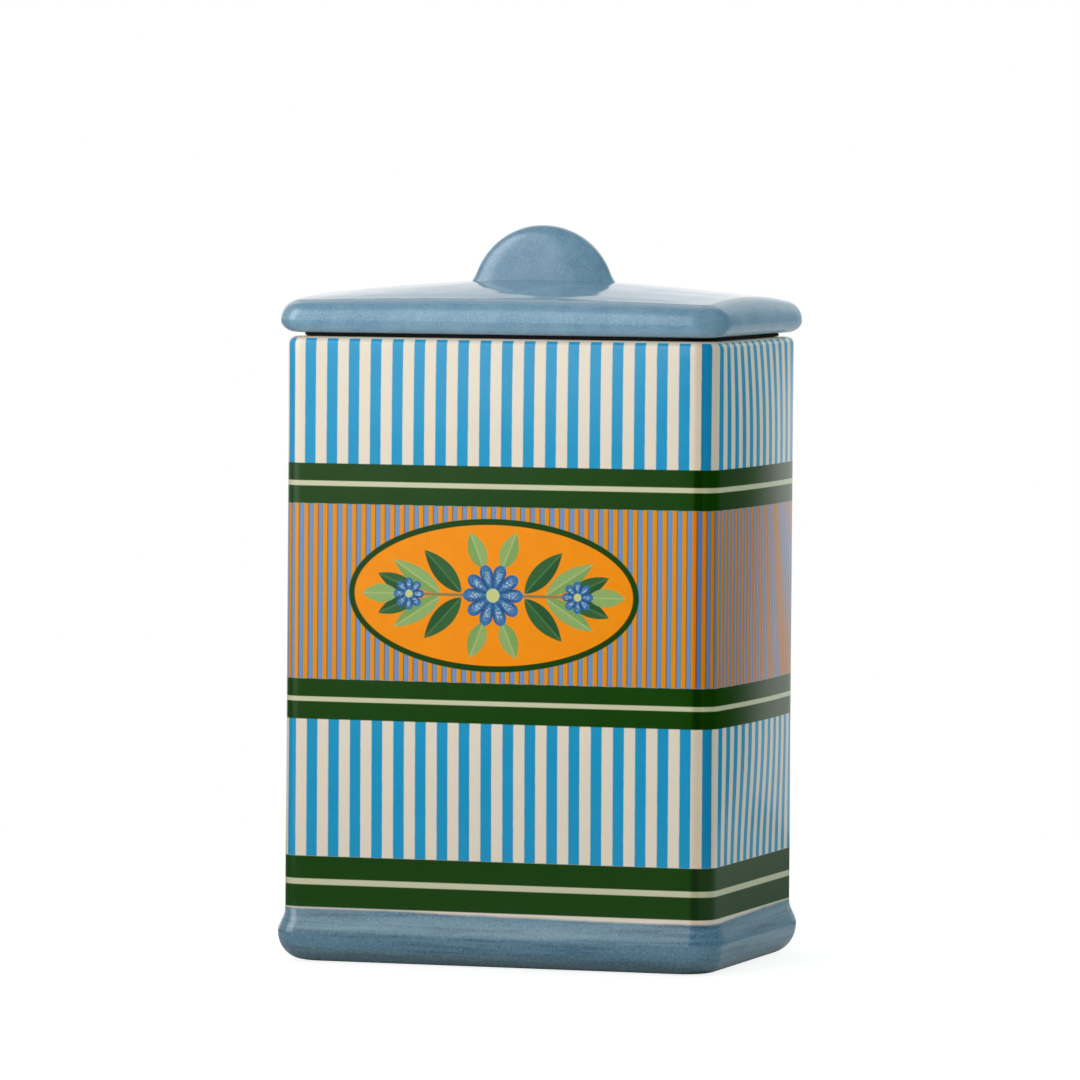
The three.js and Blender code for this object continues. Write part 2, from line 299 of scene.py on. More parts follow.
def lengths_round(shape, perimeter=None):
    """Length round the outline at each point of a ring, from the middle of the front. Where a perimeter
    is given, the back takes up the difference."""
    length, depth, radius = shape
    corner = radius * math.pi / 2
    front = length - 2 * radius
    side = depth - 2 * radius
    back = front if perimeter is None else perimeter - front - 2 * side - 4 * corner
    half = [
        (back / 2, LONG_STEPS // 2),
        (corner, CORNER_STEPS),
        (side, SHORT_STEPS),
        (corner, CORNER_STEPS),
    ]
    runs = half + [(front, LONG_STEPS)] + half[::-1]
    total = [-sum(run for run, _ in runs) / 2]
    for run, steps in runs:
        for _ in range(steps):
            total.append(total[-1] + run / steps)
    return total


def arc(centre_offset, centre_z, width, height, start, end, steps=ROUND_STEPS):
    """Points (offset, z) of an elliptic arc in a section."""
    points = []
    for i in range(steps + 1):
        angle = start + (end - start) * i / steps
        points.append((centre_offset + width * math.cos(angle), centre_z + height * math.sin(angle)))
    return points


def finish_mesh(name, mesh, materials, crease=CREASE_ANGLE):
    for material in materials:
        mesh.materials.append(material)
    mesh.validate()
    mesh.shade_smooth()
    mesh.set_sharp_from_angle(angle=math.radians(crease))
    obj = bpy.data.objects.new(name, mesh)
    bpy.context.scene.collection.objects.link(obj)
    return obj


def loft(name, rings, us, vs, slots, materials, closed=False, creased_ring=None):
    """A surface through the rings. us holds the lengths round and vs the height of each ring for the
    map named wrap, and slots the material of each band. An open surface is capped at both ends."""
    count = len(rings[0])
    verts = [p * MM for points in rings for p in points]
    faces, face_uvs, face_slots = [], [], []
    bands = len(rings) if closed else len(rings) - 1
    for i in range(bands):
        k = (i + 1) % len(rings)
        for j in range(count):
            n = (j + 1) % count
            faces.append((i * count + j, i * count + n, k * count + n, k * count + j))
            face_uvs.append(((us[j], vs[i]), (us[j + 1], vs[i]), (us[j + 1], vs[k]), (us[j], vs[k])))
            face_slots.append(slots[i])
    if not closed:
        for i, face_up in ((0, False), (len(rings) - 1, True)):
            centre = len(verts)
            verts.append(sum(rings[i], Vector()) / count * MM)
            for j in range(count):
                pair = (i * count + j, i * count + (j + 1) % count)
                uv = ((us[j], vs[i]), (us[j + 1], vs[i]))
                faces.append((centre, *(pair if face_up else pair[::-1])))
                face_uvs.append(((us[j], vs[i]), *(uv if face_up else uv[::-1])))
                face_slots.append(slots[0] if i == 0 else slots[bands - 1])
    mesh = bpy.data.meshes.new(name)
    mesh.from_pydata([tuple(v) for v in verts], [], faces)
    layer = mesh.uv_layers.new(name="wrap")
    flat = [c * MM for corners in face_uvs for uv in corners for c in uv]
    layer.data.foreach_set("uv", flat)
    mesh.polygons.foreach_set("material_index", face_slots)
    obj = finish_mesh(name, mesh, materials)
    for edge in mesh.edges:
        if all(v // count == creased_ring for v in edge.vertices):
            edge.use_edge_sharp = True
    return obj


# Node arithmetic
class Num:
    """A number given by a node, which takes plain arithmetic."""

    def __init__(self, tree, socket):
        self.tree = tree
        self.socket = socket

    def math(self, operation, *others, swap=False):
        node = self.tree.nodes.new("ShaderNodeMath")
        node.operation = operation
        values = (*others, self) if swap else (self, *others)
        for slot, value in zip(node.inputs, values):
            put(self.tree, slot, value)
        return Num(self.tree, node.outputs[0])

    def __add__(self, other):
        return self.math("ADD", other)

    def __sub__(self, other):
        return self.math("SUBTRACT", other)

    def __rsub__(self, other):
        return self.math("SUBTRACT", other, swap=True)

    def __mul__(self, other):
        return self.math("MULTIPLY", other)

    def __truediv__(self, other):
        return self.math("DIVIDE", other)

    __radd__ = __add__
    __rmul__ = __mul__

    def abs(self):
        return self.math("ABSOLUTE")

    def power(self, other):
        return self.math("POWER", other)

    def root(self):
        return self.math("SQRT")

    def fraction(self):
        return self.math("FRACT")

    def larger(self, other):
        return self.math("MAXIMUM", other)

    def smaller(self, other):
        return self.math("MINIMUM", other)

    def share(self):
        """Kept from 0 to 1."""
        return self.larger(0.0).smaller(1.0)

    def rise(self, low, high):
        """0 below low and 1 above high, smooth between."""
        node = self.tree.nodes.new("ShaderNodeMapRange")
        node.interpolation_type = "SMOOTHSTEP"
        for slot, value in zip(node.inputs, (self, low, high)):
            put(self.tree, slot, value)
        return Num(self.tree, node.outputs[0])

    def fall(self, low, high):
        """1 below low and 0 above high, smooth between."""
        return 1.0 - self.rise(low, high)

    def between(self, low, high, soft):
        """1 from low to high, 0 outside."""
        return self.rise(low - soft, low + soft) * self.fall(high - soft, high + soft)


def put(tree, socket, value):
    """Links a node's output to the socket, or sets a plain number, colour or vector on it."""
    if isinstance(value, Num):
        tree.links.new(value.socket, socket)
    elif isinstance(value, bpy.types.NodeSocket):
        tree.links.new(value, socket)
    elif isinstance(value, tuple):
        is_opaque_colour = len(socket.default_value) == 4 and len(value) == 3
        socket.default_value = (*value, 1.0) if is_opaque_colour else value
    else:
        socket.default_value = value


def parts(tree, vector):
    """The three numbers of a vector."""
    node = tree.nodes.new("ShaderNodeSeparateXYZ")
    put(tree, node.inputs[0], vector)
    return [Num(tree, socket) for socket in node.outputs]


def coordinates(tree, name):
    return tree.nodes.new("ShaderNodeTexCoord").outputs[name]


def mix(tree, share, low, high):
    """A colour between low and high."""
    node = tree.nodes.new("ShaderNodeMix")
    node.data_type = "RGBA"
    sockets = {s.identifier: s for s in node.inputs}
    put(tree, sockets["Factor_Float"], share)
    put(tree, sockets["A_Color"], low)
    put(tree, sockets["B_Color"], high)
    return next(s for s in node.outputs if s.identifier == "Result_Color")


def printed_twice(tree, share, colour):
    """A colour with a share of a second layer of the same ink over it."""
    twice = tree.nodes.new("ShaderNodeVectorMath")
    twice.operation = "MULTIPLY"
    put(tree, twice.inputs[0], colour)
    put(tree, twice.inputs[1], colour)
    return mix(tree, share, colour, twice.outputs[0])


def tone(colour, factor):
    """A plain colour made lighter or darker."""
    return tuple(factor * c for c in colour)


class Shader:
    """A material with its tree of nodes."""

    def __init__(self, name, ior=GLAZE_IOR):
        self.material = bpy.data.materials.new(name)
        self.material.use_nodes = True
        self.tree = self.material.node_tree
        self.surface = self.tree.nodes["Principled BSDF"]
        self.surface.inputs["IOR"].default_value = ior
        self.place = coordinates(self.tree, "Object")

    def wrap(self):
        """Length round the piece and height, in millimetres, from the map that loft makes."""
        node = self.tree.nodes.new("ShaderNodeUVMap")
        node.uv_map = "wrap"
        return [number * (1.0 / MM) for number in parts(self.tree, node.outputs[0])[:2]]

    def vector(self, x, y, z=0.0):
        node = self.tree.nodes.new("ShaderNodeCombineXYZ")
        for slot, value in zip(node.inputs, (x, y, z)):
            put(self.tree, slot, value)
        return node.outputs[0]

    def noise(self, size, detail=2.0, roughness=0.5, place=None):
        """Noise from 0 to 1 with features of about that size in millimetres, or in the units of place."""
        node = self.tree.nodes.new("ShaderNodeTexNoise")
        put(self.tree, node.inputs["Vector"], place or self.place)
        node.inputs["Scale"].default_value = (1.0 if place else 1.0 / MM) / size
        node.inputs["Detail"].default_value = detail
        node.inputs["Roughness"].default_value = roughness
        return Num(self.tree, node.outputs[0])

    def colour(self, value):
        put(self.tree, self.surface.inputs["Base Color"], value)

    def rough(self, low, high, size, detail=2.0):
        """Roughness from low to high, in patches of about that size in millimetres."""
        value = self.noise(size, detail) * (high - low) + low
        put(self.tree, self.surface.inputs["Roughness"], value)

    def bump(self, height, distance=1.0):
        """height from 0 to 1 stands for that distance in millimetres."""
        node = self.tree.nodes.new("ShaderNodeBump")
        node.inputs["Distance"].default_value = distance * MM
        put(self.tree, node.inputs["Height"], height)
        put(self.tree, self.surface.inputs["Normal"], node.outputs[0])


# Print
def stripes(length, start, pitch, share, soft):
    """1 on the stripes of that pitch, and the place within the pitch from 0 to 1."""
    place = ((length - start) / pitch).fraction()
    edge = soft / pitch
    return place.rise(0.0, edge) * place.fall(share, share + edge), place


def leaf(x, y, shape):
    """A pointed leaf from its base: its area, its middle rib and one half of its blade."""
    c, s = math.cos(math.radians(shape.angle)), math.sin(math.radians(shape.angle))
    dx, dy = x - shape.base[0], y - shape.base[1]
    along = ((dx * c + dy * s) / shape.length).share()
    across = dy * c - dx * s
    taper_power, fullness = 0.85, 2.1
    half = along.power(taper_power) * (1.0 - along) * (fullness * shape.width)
    area = (half - across.abs()).rise(0.0, MOTIF_EDGE)
    rib = across.abs().fall(0.1, 0.4)
    blade_half = across.rise(-0.5, 0.5)
    return area, rib, blade_half


def rosette(x, y, shape):
    """A round flower: its area, the ridges of its petals, its middle and the way out from the middle."""
    petal_share, middle_share, petal_power = 0.36, 0.2, 0.55
    radius = shape.radius
    dx, dy = x - shape.centre[0], y - shape.centre[1]
    away = (dx * dx + dy * dy).root()
    turn = dy.math("ARCTAN2", dx)
    ridge = (turn * (shape.petals / 2)).math("COSINE").abs()
    reach = ridge.power(petal_power) * (petal_share * radius) + (1.0 - petal_share) * radius
    area = (reach - away).rise(0.0, MOTIF_EDGE)
    middle = away.fall(middle_share * radius, middle_share * radius + MOTIF_EDGE)
    return area, ridge, middle, away / radius


def medallion(m, colour, u, v):
    """A mirrored ornament of leaves and rosettes on an orange oval with a green border."""
    tree = m.tree
    x, y = u - MEDALLION_CENTRE[0], v - MEDALLION_CENTRE[1]
    place = m.vector(x, y)

    def inside(axes):
        reach = ((x / axes[0]).power(2.0) + (y / axes[1]).power(2.0)).root()
        soft = OVAL_EDGE / axes[1]
        return reach.fall(1.0 - soft, 1.0 + soft)

    grain = m.noise(0.55, detail=3.0, roughness=0.7, place=place)
    cloud = m.noise(6.0, place=place)
    field = mix(tree, cloud, FIELD_DEEP, FIELD_PALE)
    across, up = x.abs(), y.abs()
    stem = up.between(-STEM_HALF_WIDTH, STEM_HALF_WIDTH, soft=0.15)
    stem = stem * across.between(STEM_FROM, STEM_TO, soft=0.4)
    field = mix(tree, stem, field, STEM_INK)
    for shape in LEAVES:
        area, rib, half = leaf(across, up, shape)
        tint = (half * 0.35 + grain * 0.9 - 0.2).share()
        deep, pale = (PALE_LEAF_DEEP, PALE_LEAF_MID) if shape.pale else (LEAF_DEEP, LEAF_MID)
        blade = mix(tree, tint, deep, pale)
        blade = mix(tree, rib * 0.5, blade, PALE_LEAF_RIB if shape.pale else LEAF_RIB)
        field = mix(tree, area, field, blade)
    for shape in ROSETTES:
        area, ridge, middle, away = rosette(across, up, shape)
        tint = (ridge * 0.55 + (grain - 0.5) * 1.5 + 0.12).share()
        petal = mix(tree, tint, PETAL_DEEP, PETAL_MID)
        shine = away.between(0.42, 0.74, soft=0.14) * ridge.rise(0.55, 1.0) * grain.rise(0.42, 0.62)
        petal = mix(tree, shine, petal, PETAL_PALE)
        petal = mix(tree, middle, petal, ROSETTE_MIDDLE)
        field = mix(tree, area, field, petal)
    colour = mix(tree, inside(OVAL_OUTER), colour, GREEN_INK)
    return mix(tree, inside(OVAL_INNER), colour, field)


def wide_stripes(m, colour, inked, v, blotch):
    """Blue stripes above and below the middle panel, where the two rows are a little out of line."""
    top, _ = stripes(inked, STRIPE_START_TOP, STRIPE_PITCH, STRIPE_SHARE, STRIPE_EDGE)
    low, _ = stripes(inked, STRIPE_START_LOW, STRIPE_PITCH, STRIPE_SHARE, STRIPE_EDGE)
    blue = mix(m.tree, blotch, tone(BLUE_INK, 0.88), tone(BLUE_INK, 1.1))
    area = (top + (low - top) * v.fall(*STRIPES_CHANGE)) * v.between(LOWER_BAND.top, PRINT_TOP, PRINT_EDGE)
    return mix(m.tree, area, colour, blue)


def fine_stripes(m, colour, inked, v, fine):
    """The middle panel: orange and periwinkle stripes, with a darker line where they meet."""
    tree = m.tree
    orange, place = stripes(inked, FINE_START, FINE_PITCH, FINE_SHARE, FINE_EDGE)
    line_strength, line_edge = 0.9, 0.04
    shadow_line = place.between(FINE_SHARE - 0.02, FINE_SHARE + 0.09, line_edge) * line_strength
    olive_line = place.between(0.9, 1.1, line_edge) * line_strength
    periwinkle = mix(tree, fine, tone(PERIWINKLE_INK, 0.92), PERIWINKLE_INK)
    pair = mix(tree, orange, periwinkle, ORANGE_INK)
    pair = mix(tree, olive_line, pair, OLIVE_INK)
    pair = mix(tree, shadow_line, pair, SHADOW_INK)
    return mix(tree, v.between(MIDDLE_BAND.top, UPPER_BAND.bottom, PRINT_EDGE), colour, pair)


def green_bands(m, colour, v, blotch):
    """Green bands, each with a pale line."""
    tree = m.tree
    green = mix(tree, blotch, tone(GREEN_INK, 0.8), tone(GREEN_INK, 1.2))
    for band in (UPPER_BAND, MIDDLE_BAND, LOWER_BAND):
        colour = mix(tree, v.between(band.bottom, band.top, PRINT_EDGE), colour, green)
        colour = mix(tree, v.between(band.line_bottom, band.line_top, PRINT_EDGE), colour, LINE_INK)
    return colour


def seam_overlap_and_corner_shade(u):
    """Share of a second layer of ink where the print's two sheets overlap, at two opposite corners. On the
    front right corner this darker, deeper ink is also painted shade.
    """
    sheet = PERIMETER / 2
    from_seam = ((u - SEAM) / sheet + 0.5).fraction() * sheet - sheet / 2
    lap = from_seam.between(-1.4, 6.2, soft=1.0) * 0.22
    thicker_edge = from_seam.between(-1.1, 1.1, soft=0.5) * 0.3
    return thicker_edge + lap


def foot_glaze(m, colour, u, v):
    """The foot's glaze is brushed on, so it streaks along and ends in an uneven edge."""
    tree = m.tree

    def brushed(along, across, start=0.0):
        return m.noise(1.0, detail=3.0, roughness=0.6, place=m.vector(u * along + start, v * across))

    streaks = brushed(along=0.03, across=0.55).rise(0.30, 0.56)
    thin_places = brushed(along=0.011, across=0.25, start=7.0).rise(0.48, 0.74) * 0.75
    # greyer and a little darker towards the bottom of the foot
    greyer_bottom = v.fall(1.5, 5.5) * 0.65
    speck = m.noise(0.7, roughness=0.7)
    pale_specks = speck.rise(0.52, 0.72) * 0.3
    dark_specks = speck.fall(0.28, 0.45) * 0.45
    foot = mix(tree, streaks, FOOT_DEEP, FOOT_MID)
    foot = mix(tree, thin_places, foot, FOOT_PALE)
    foot = mix(tree, greyer_bottom, foot, FOOT_BOTTOM)
    foot = mix(tree, pale_specks, foot, FOOT_PALE_SPECK)
    foot = mix(tree, dark_specks, foot, FOOT_DARK_SPECK)
    sway_length, sway_start, sway_height = 200.0, 50.0, -0.45
    sway = ((u - sway_start) * (2 * math.pi / sway_length)).math("COSINE") * sway_height
    ragged = (brushed(along=0.05, across=0.0, start=3.0) - 0.5) * 0.9
    glazed = (ragged + sway + FOOT_GLAZE_TOP - v).rise(-0.4, 0.6)
    return mix(tree, glazed, colour, foot)


# Materials
def glaze_waves(m, height=0.05):
    """The long, slight waves of a fired glaze, of that height in millimetres."""
    return m.noise(26.0, detail=1.0) * height


def printed_glaze():
    """Outside of the jar: streaked foot glaze below, printed bands and stripes on cream above."""
    m = Shader("printed_glaze")
    u, v = m.wrap()
    mottle = m.noise(9.0, detail=3.0)
    fine = m.noise(0.5)
    inked = u + (m.noise(3.0, detail=3.0, roughness=0.6) - 0.5) * INK_WOBBLE
    pinholes = m.noise(1.1, detail=1.0).rise(0.8, 0.84) * 0.4
    colour = mix(m.tree, mottle, tone(CREAM, 0.965), CREAM)
    colour = wide_stripes(m, colour, inked, v, mottle * 0.6 + fine * 0.4)
    colour = fine_stripes(m, colour, inked, v, fine)
    colour = medallion(m, colour, u, v)
    colour = green_bands(m, colour, v, mottle * 0.5 + fine * 0.5)
    # second layer of ink at the print's seams, which on the front right corner also paints shade
    colour = printed_twice(m.tree, seam_overlap_and_corner_shade(u), colour)
    colour = mix(m.tree, pinholes, colour, PINHOLE)
    m.colour(foot_glaze(m, colour, u, v))
    m.rough(0.085, 0.135, size=3.0)
    m.bump(glaze_waves(m))
    return m.material


def inside_glaze():
    """Plain cream glaze inside the jar."""
    m = Shader("inside_glaze")
    tint = m.noise(14.0, detail=3.0) * 0.7 + m.noise(0.6) * 0.3
    m.colour(mix(m.tree, tint, tone(CREAM, 0.9), tone(CREAM, 1.02)))
    m.rough(0.1, 0.18, size=4.0)
    m.bump(glaze_waves(m))
    return m.material


def lid_glaze(name, on_slab=False):
    """Mottled grey-blue glaze with fine specks. On the slab, whose map gives the number of rings from its
    crease in place of the height, it has painted light from below, a painted highlight on the edge of
    the round where the glaze also breaks pale, a painted shade line in the crease round the crown, and
    it ripples more on top."""
    m = Shader(name)
    tree = m.tree
    clouds = m.noise(7.0, detail=4.0, roughness=0.6).rise(0.28, 0.72)
    speck = m.noise(0.42, detail=3.0, roughness=0.75)
    pale_specks = speck.rise(0.45, 0.7) * 0.8
    dark_specks = speck.fall(0.28, 0.46) * 0.8
    colour = mix(tree, clouds, LID_DEEP, LID_MID)
    colour = mix(tree, pale_specks, colour, LID_PALE)
    colour = mix(tree, dark_specks, colour, LID_DEEP)
    ripple_height = 0.02
    grain_height = 0.002
    if on_slab:
        _, step = m.wrap()
        # painted light from below: the lower part of the round is made paler, as if lit from the floor
        painted_light_below = step.fall(-18.0, -13.0) * 0.25
        # painted highlight along the edge of the round, where the glaze also breaks pale
        edge_highlight_and_break = step.between(-5.4, -3.2, soft=0.5) * 0.55
        # painted shade: an uneven dark line in the crease round the crown
        uneven = m.noise(8.0, detail=3.0, roughness=0.6).rise(0.32, 0.66) * 0.62 + 0.26
        crease_shade = step.between(-2.5, -1.0, soft=0.6) * uneven
        colour = mix(tree, painted_light_below, colour, LID_PALE)
        colour = mix(tree, edge_highlight_and_break, colour, LID_HIGHLIGHT_AND_BREAK)
        colour = mix(tree, crease_shade, colour, LID_CREASE_SHADE)
        ripple_height = step.rise(0.0, 4.0) * 0.22 + ripple_height
    m.colour(colour)
    m.rough(0.07, 0.12, size=2.0)
    ripples = m.noise(11.0, detail=1.0) * ripple_height
    grain = m.noise(0.9) * grain_height
    m.bump(glaze_waves(m, height=0.06) + ripples + grain)
    return m.material


def bare_stoneware():
    """Unglazed clay with dark specks."""
    m = Shader("bare_stoneware")
    specks = m.noise(0.5, roughness=0.6).rise(0.66, 0.74) * 0.6
    colour = mix(m.tree, m.noise(2.5, detail=4.0, roughness=0.6), CLAY_DEEP, CLAY_PALE)
    m.colour(mix(m.tree, specks, colour, CLAY_SPECK))
    m.rough(0.75, 0.95, size=1.0)
    m.bump(m.noise(0.6, detail=3.0, roughness=0.7), distance=0.06)
    return m.material


def silicone():
    """Matt black rubber."""
    m = Shader("silicone", RUBBER_IOR)
    m.surface.inputs["Specular IOR Level"].default_value = RUBBER_SPECULAR
    m.colour(mix(m.tree, m.noise(3.0, detail=3.0), RUBBER_DEEP, RUBBER_PALE))
    m.rough(0.5, 0.7, size=1.2, detail=3.0)
    m.bump(m.noise(0.8), distance=0.02)
    return m.material


# Outlines that the pieces share: length, depth and corner radius
BODY = (BODY_LENGTH, BODY_DEPTH, CORNER_RADIUS)
MOUTH = (BODY_LENGTH - 2 * WALL, BODY_DEPTH - 2 * WALL, INNER_CORNER_RADIUS)
LID = (BODY_LENGTH + 2 * LID_OVERHANG, BODY_DEPTH + 2 * LID_OVERHANG, CORNER_RADIUS + LID_OVERHANG)
COLLAR = (MOUTH[0] - 2 * SEAL_SPACE, MOUTH[1] - 2 * SEAL_SPACE, INNER_CORNER_RADIUS)
COLLAR_INSIDE = (COLLAR[0] - 2 * COLLAR_WALL, COLLAR[1] - 2 * COLLAR_WALL, INNER_CORNER_RADIUS)

# Angles in a section
OUT, UP, IN, DOWN = 0.0, math.pi / 2, math.pi, -math.pi / 2


def jar_body(materials):
    """Materials: printed outside, glazed inside, bare foot ring."""
    printed, glazed, bare = range(3)
    recess = -(FOOT_TUCK + FOOT_RING_WIDTH)
    under = [
        (recess - RECESS_EASE_INSIDE, FOOT_RECESS),
        (recess, FOOT_RECESS - RECESS_EASE_HEIGHT),
        (recess + FOOT_RECESS, RECESS_EASE_HEIGHT),
        (recess + FOOT_RECESS + RECESS_EASE_OUTSIDE, 0.0),
    ]
    bare_bands = len(under) + 1
    under += arc(-FOOT_TUCK, FOOT_BULGE_HEIGHT, FOOT_TUCK + FOOT_BULGE, FOOT_BULGE_HEIGHT, DOWN, OUT)
    outside = []
    for i in range(1, ROUND_STEPS + 1):
        t = i / ROUND_STEPS
        proud = FOOT_BULGE * (1 + math.cos(math.pi * t)) / 2
        outside.append((proud, FOOT_BULGE_HEIGHT + t * (FOOT_HEIGHT - FOOT_BULGE_HEIGHT)))
    rim_low = BODY_HEIGHT - RIM_OUTER_RADIUS
    for i in range(1, WALL_RINGS):
        outside.append((0.0, FOOT_HEIGHT + (rim_low - FOOT_HEIGHT) * i / WALL_RINGS))
    outside += arc(-RIM_OUTER_RADIUS, rim_low, RIM_OUTER_RADIUS, RIM_OUTER_RADIUS, OUT, UP)
    inner_top = BODY_HEIGHT - RIM_INNER_RADIUS
    floor_top = FLOOR_THICKNESS + INNER_FLOOR_RADIUS
    inside = arc(RIM_INNER_RADIUS, inner_top, RIM_INNER_RADIUS, RIM_INNER_RADIUS, UP, IN)
    for i in range(1, WALL_RINGS // 2):
        inside.append((0.0, inner_top + (floor_top - inner_top) * 2 * i / WALL_RINGS))
    inside += arc(-INNER_FLOOR_RADIUS, floor_top, INNER_FLOOR_RADIUS, INNER_FLOOR_RADIUS, OUT, DOWN)
    rings = [ring(BODY, offset, z, corner=CORNER_RADIUS + FOOT_BULGE) for offset, z in under]
    rings += [ring(BODY, offset, z, wall_fullness(z)) for offset, z in outside]
    rings += [ring(MOUTH, offset, z, wall_fullness(z)) for offset, z in inside]
    heights = [z for _, z in under + outside + inside]
    slots = [bare] * bare_bands + [printed] * (len(under + outside) - bare_bands) + [glazed] * len(inside)
    return loft("jar_body_glazed", rings, lengths_round(BODY, PERIMETER), heights, slots, materials)


SHOULDER_LENGTH = LID[0] / 2 - UPPER_ROUND_WIDTH
SHOULDER_DEPTH = LID[1] / 2 - UPPER_ROUND_WIDTH


def crown_height(x, y):
    """Height of the lid's top above its underside."""
    along = min(abs(x) / SHOULDER_LENGTH, 1.0)
    across = min(abs(y) / SHOULDER_DEPTH, 1.0)
    arches = FRONT_ARCH * (1 - along ** 2) + END_ARCH * (1 - across ** 2)
    rise = CROWN * (1 - along ** CROWN_POWER_ALONG) * (1 - across ** 2)
    return LOWER_ROUND_HEIGHT + UPPER_ROUND_HEIGHT + arches + rise


def lid_slab(materials):
    """Materials: glazed top and edge, bare underside."""
    glazed, bare = range(2)
    rings = [ring(COLLAR_INSIDE, -LID_RECESS, LID_RECESS), ring(COLLAR_INSIDE, 0.0, 0.0)]
    bare_bands = len(rings) + 1
    lower = arc(-LOWER_ROUND_WIDTH, LOWER_ROUND_HEIGHT, LOWER_ROUND_WIDTH, LOWER_ROUND_HEIGHT, DOWN, OUT)
    rings += [ring(LID, offset, z) for offset, z in lower]
    shoulder = ring(LID, -UPPER_ROUND_WIDTH, 0.0)
    for p in shoulder:
        p.z = crown_height(p.x, p.y)
    for offset, share in arc(-UPPER_ROUND_WIDTH, 0.0, UPPER_ROUND_WIDTH, 1.0, OUT, UP)[1:-1]:
        points = ring(LID, offset, 0.0)
        for p, top in zip(points, shoulder):
            p.z = LOWER_ROUND_HEIGHT + (top.z - LOWER_ROUND_HEIGHT) * share
        rings.append(points)
    creased_ring = len(rings)
    rings.append(shoulder)
    for i in range(1, CROWN_RINGS):
        share = 1 - i / CROWN_RINGS
        inward = [(p.x * share, p.y * share) for p in shoulder]
        rings.append([Vector((x, y, crown_height(x, y))) for x, y in inward])
    lift = Vector((0, 0, LID_Z))
    rings = [[p + lift for p in points] for points in rings]
    slots = [bare] * bare_bands + [glazed] * (len(rings) - bare_bands)
    steps = [float(i - creased_ring) for i in range(len(rings))]
    return loft("lid_slab_glazed", rings, lengths_round(LID), steps, slots, materials,
                creased_ring=creased_ring)


def lid_knob(materials):
    """The upper part of a pillowed disc, with its two ends running out into the lid."""
    half = KNOB_THICKNESS / 2
    seat = LID_Z + crown_height(KNOB_RADIUS, half)
    centre = seat + KNOB_HEIGHT - KNOB_RADIUS
    turns = [2 * math.pi * j / KNOB_STEPS for j in range(KNOB_STEPS)]
    bm = bmesh.new()
    rows = []
    for i in range(1, KNOB_PROFILE_STEPS):
        angle = DOWN + math.pi * i / KNOB_PROFILE_STEPS
        out = KNOB_RADIUS * abs(math.cos(angle)) ** (2 / KNOB_ROUNDNESS)
        across = half * math.copysign(abs(math.sin(angle)) ** (2 / KNOB_ROUNDNESS), angle)
        rows.append([bm.verts.new((out * math.cos(t), across, centre + out * math.sin(t))) for t in turns])
    front = bm.verts.new((0, -half, centre))
    back = bm.verts.new((0, half, centre))
    for j in range(KNOB_STEPS):
        n = (j + 1) % KNOB_STEPS
        for low, high in zip(rows, rows[1:]):
            bm.faces.new((low[j], low[n], high[n], high[j]))
        bm.faces.new((front, rows[0][n], rows[0][j]))
        bm.faces.new((back, rows[-1][j], rows[-1][n]))
    everything = bm.verts[:] + bm.edges[:] + bm.faces[:]
    cut = bmesh.ops.bisect_plane(bm, geom=everything, plane_co=(0, 0, seat - KNOB_ROOT),
                                 plane_no=(0, 0, 1), clear_inner=True)
    edges = [e for e in cut["geom_cut"] if isinstance(e, bmesh.types.BMEdge)]
    bmesh.ops.triangle_fill(bm, edges=edges, use_beauty=True)
    bmesh.ops.recalc_face_normals(bm, faces=bm.faces[:])
    for v in bm.verts:
        above = v.co.z - LID_Z - crown_height(v.co.x, v.co.y)
        near = min(max(1.0 - above / FLARE_HEIGHT, 0.0), FLARE_MOST)
        end = smoothstep(abs(v.co.x) / KNOB_RADIUS, *FLARE_ENDS)
        v.co.x += math.copysign(FLARE * near ** 2 * end, v.co.x)
        v.co *= MM
    mesh = bpy.data.meshes.new("lid_knob_glazed")
    bm.to_mesh(mesh)
    bm.free()
    return finish_mesh("lid_knob_glazed", mesh, materials, KNOB_CREASE_ANGLE)


def closed_section(name, section, materials):
    """A ring round the collar's outline with a closed section of (outline, offset, z)."""
    rings = [ring(shape, offset, z) for shape, offset, z in section]
    heights = [z for _, _, z in section]
    return loft(name, rings, lengths_round(COLLAR), heights, [0] * len(rings), materials, closed=True)


def lid_collar(materials):
    """A wall under the lid with rounded lower edges."""
    top = LID_Z - JOINT_GAP
    edge_z = LID_Z - COLLAR_DEPTH + COLLAR_EDGE
    outer = arc(-COLLAR_EDGE, edge_z, COLLAR_EDGE, COLLAR_EDGE, DOWN, OUT, EDGE_STEPS)
    inner = arc(COLLAR_EDGE, edge_z, COLLAR_EDGE, COLLAR_EDGE, IN, 2 * math.pi + DOWN, EDGE_STEPS)
    section = [(COLLAR, offset, z) for offset, z in outer + [(0.0, top)]]
    section += [(COLLAR_INSIDE, offset, z) for offset, z in [(0.0, top)] + inner]
    return closed_section("lid_collar_bare", section, materials)


